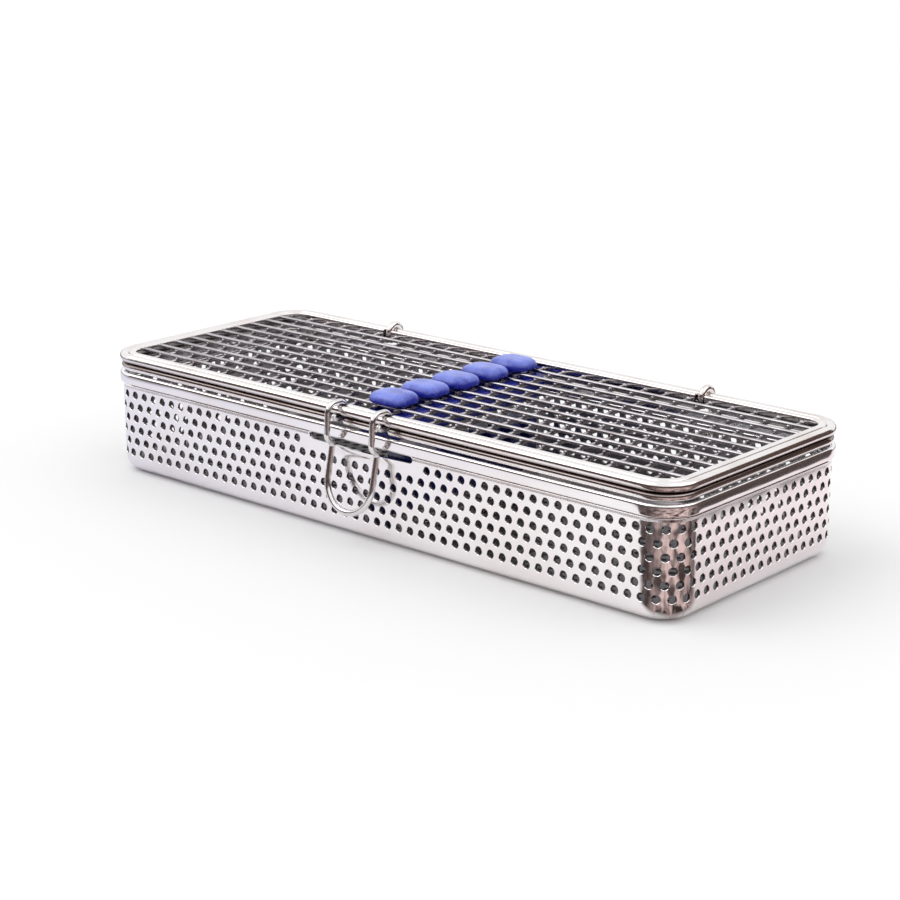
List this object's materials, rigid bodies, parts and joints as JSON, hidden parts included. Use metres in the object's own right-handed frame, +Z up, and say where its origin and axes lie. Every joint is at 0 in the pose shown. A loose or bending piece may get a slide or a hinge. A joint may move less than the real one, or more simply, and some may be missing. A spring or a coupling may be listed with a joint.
{
  "type": "sterilization mesh tray",
  "caption": "Small lidded metal tray that holds surgical instruments in a silicone comb for sterilization, with a wire-mesh lid on wire hinges and a spring-wire latch.",
  "frame": {"origin": "middle of the tray's underside", "axes": "+X along the tray, +Z up, latch on the -Y side and hinges on the +Y side"},
  "size_m": [0.18, 0.0758, 0.034],
  "materials": {
    "tray_sheet": "satin",
    "frame_rod": "polished",
    "mesh_wire": "polished",
    "latch_wire": "polished",
    "silicone": "matte"
  },
  "bodies": {
    "tray": {"tray_shell": "tray_sheet", "hinge_loop_left": "frame_rod", "hinge_loop_right": "frame_rod", "holder_rail": "tray_sheet", "holder_comb": "silicone"},
    "lid": {"lid_upper_rod": "frame_rod", "lid_lower_rod": "frame_rod", "lid_mesh_border": "frame_rod", "lid_cross_wire_01": "mesh_wire", "lid_cross_wire_02": "mesh_wire", "lid_cross_wire_03": "mesh_wire", "lid_cross_wire_04": "mesh_wire", "lid_cross_wire_05": "mesh_wire", "lid_cross_wire_06": "mesh_wire", "lid_cross_wire_07": "mesh_wire", "lid_cross_wire_08": "mesh_wire", "lid_cross_wire_09": "mesh_wire", "lid_cross_wire_10": "mesh_wire", "lid_cross_wire_11": "mesh_wire", "lid_cross_wire_12": "mesh_wire", "lid_cross_wire_13": "mesh_wire", "lid_cross_wire_14": "mesh_wire", "lid_cross_wire_15": "mesh_wire", "lid_cross_wire_16": "mesh_wire", "lid_cross_wire_17": "mesh_wire", "lid_cross_wire_18": "mesh_wire", "lid_cross_wire_19": "mesh_wire", "lid_cross_wire_20": "mesh_wire", "lid_cross_wire_21": "mesh_wire", "lid_cross_wire_22": "mesh_wire", "lid_cross_wire_23": "mesh_wire", "lid_cross_wire_24": "mesh_wire", "lid_cross_wire_25": "mesh_wire", "lid_cross_wire_26": "mesh_wire", "lid_long_wire_01": "mesh_wire", "lid_long_wire_02": "mesh_wire", "lid_long_wire_03": "mesh_wire", "lid_long_wire_04": "mesh_wire", "lid_long_wire_05": "mesh_wire", "lid_long_wire_06": "mesh_wire", "lid_long_wire_07": "mesh_wire", "lid_long_wire_08": "mesh_wire", "lid_long_wire_09": "mesh_wire", "lid_long_wire_10": "mesh_wire", "hold_down_strip": "silicone"},
    "latch": {"latch_bail": "latch_wire"}
  },
  "joints": [
    {"name": "lid_hinge", "type": "hinge", "parent": "tray", "child": "lid", "pos_m": [0, 0.03324, 0.0303], "axis": [-1, 0, 0], "range_deg": [0, 180]},
    {"name": "latch_pivot", "type": "hinge", "parent": "lid", "child": "latch", "pos_m": [0, -0.03324, 0.0303], "axis": [-1, 0, 0], "range_deg": [0, 150]}
  ]
}
